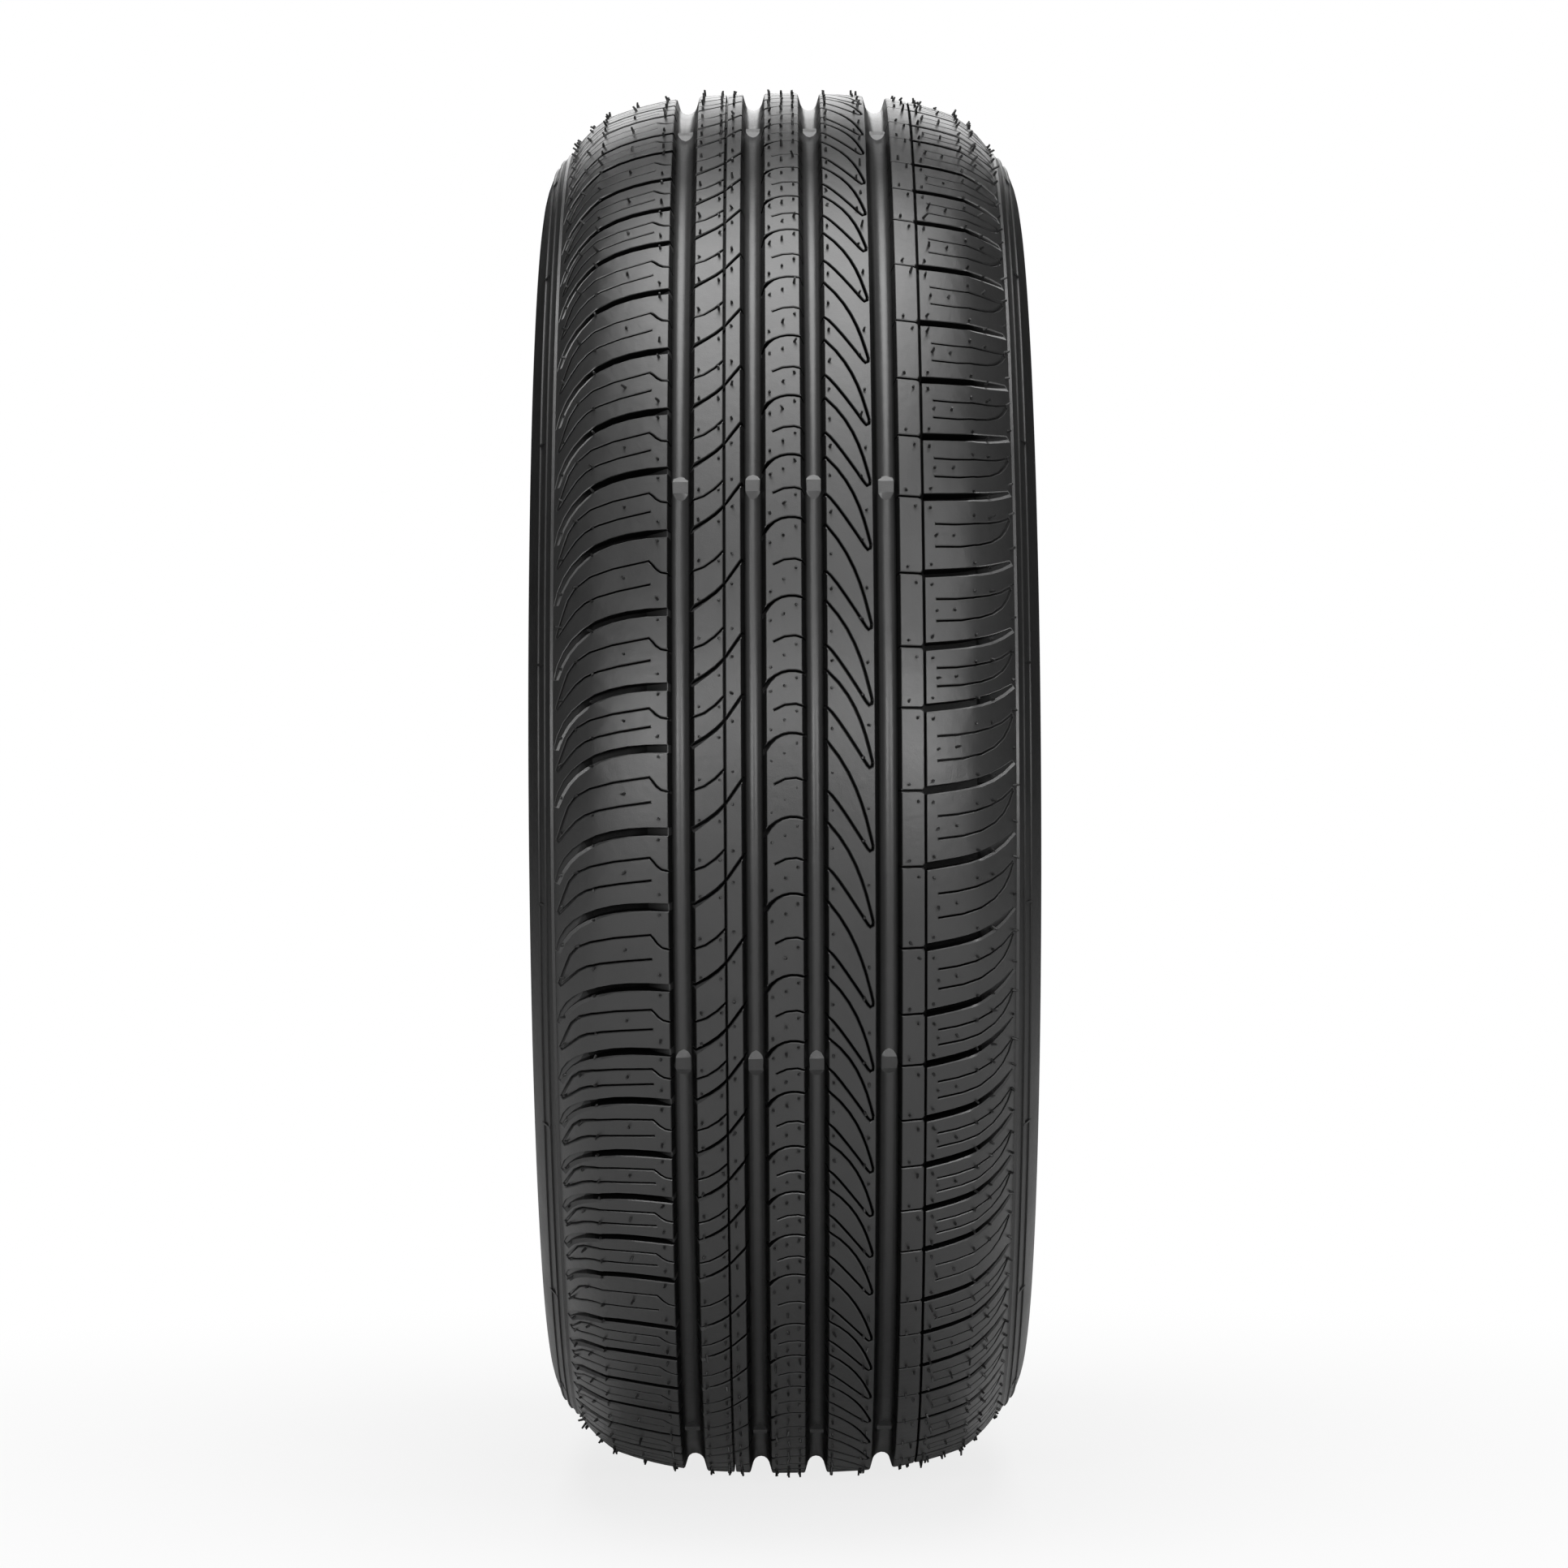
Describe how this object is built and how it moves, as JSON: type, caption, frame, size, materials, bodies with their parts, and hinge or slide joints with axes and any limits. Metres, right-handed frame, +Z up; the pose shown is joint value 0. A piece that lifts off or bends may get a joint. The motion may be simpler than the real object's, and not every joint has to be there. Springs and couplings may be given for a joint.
{
  "type": "car tyre",
  "caption": "Tubeless radial road tyre moulded in one piece, with straight rain grooves, curved sipes, rounded shoulders, plain sidewalls and two bead seats for a rim.",
  "frame": {"origin": "centre of the tyre: on the spin axis, midway between the two sidewalls", "axes": "+Y along the spin axis, +Z up as the tyre stands, +X towards the side that the picture shows"},
  "size_m": [0.6319, 0.212, 0.6319],
  "materials": {
    "tyre": "new moulded rubber, satin, with fine mould grain and rubber hairs at the vents"
  },
  "bodies": {
    "root": {"tyre": "tyre"}
  },
  "joints": []
}
